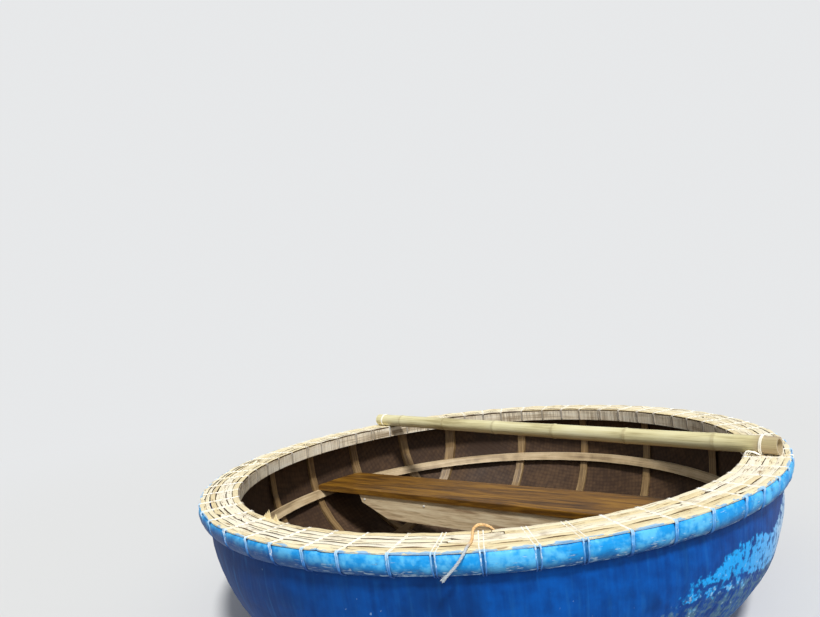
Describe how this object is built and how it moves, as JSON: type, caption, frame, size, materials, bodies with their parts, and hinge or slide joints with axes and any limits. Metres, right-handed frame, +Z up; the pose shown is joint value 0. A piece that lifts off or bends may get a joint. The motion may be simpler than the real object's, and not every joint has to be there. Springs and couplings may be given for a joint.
{
  "type": "round basket boat coracle",
  "caption": "Round woven-bamboo coracle, blue outside, with a cord-lashed bamboo gunwale, lattice ribs, a bench plank and a bamboo cross pole; floats, or stands on its flat bottom.",
  "frame": {"origin": "middle of the hull's flat bottom, at the lowest point", "axes": "+Z up through the middle of the bowl, X along the bench plank"},
  "size_m": [2.2054, 2.2054, 0.688],
  "materials": {
    "hull_paint": "matt blue paint over woven bamboo",
    "rail_paint": "bright blue paint over a bamboo bundle",
    "bamboo_dark": "dark resin-coated bamboo",
    "bamboo_weathered": "weathered split bamboo",
    "lath_bamboo": "sun-bleached split bamboo",
    "rib_bamboo": "split bamboo, satin",
    "cord": "off-white twisted cord",
    "bench_wood": "ochre varnish, worn",
    "raw_wood": "raw sawn wood",
    "pole_bamboo": "dry green-straw culm, satin",
    "rope_fibre": "natural-fibre rope"
  },
  "bodies": {
    "root": {"basket_hull": "hull_paint", "bench_apron_front": "raw_wood", "bench_apron_rear": "raw_wood", "bench_plank": "bench_wood", "cross_pole": "pole_bamboo", "gunwale_core": "bamboo_dark", "gunwale_inner_hoop": "bamboo_weathered", "pole_tie_left": "cord", "pole_tie_right": "cord", "rib_cross_1": "rib_bamboo", "rib_cross_2": "rib_bamboo", "rib_cross_3": "rib_bamboo", "rib_cross_4": "rib_bamboo", "rib_cross_5": "rib_bamboo", "rib_long_1": "rib_bamboo", "rib_long_2": "rib_bamboo", "rib_long_3": "rib_bamboo", "rib_long_4": "rib_bamboo", "rib_long_5": "rib_bamboo", "rim_lashings": "cord", "rope_knot": "rope_fibre", "rub_rail": "rail_paint", "stringer_hoop": "bamboo_weathered", "top_lath_1": "lath_bamboo", "top_lath_2": "lath_bamboo", "top_lath_3": "lath_bamboo", "top_lath_4": "lath_bamboo", "top_lath_5": "lath_bamboo", "top_lath_6": "lath_bamboo", "top_lath_7": "lath_bamboo", "tow_rope": "rope_fibre"}
  },
  "joints": []
}
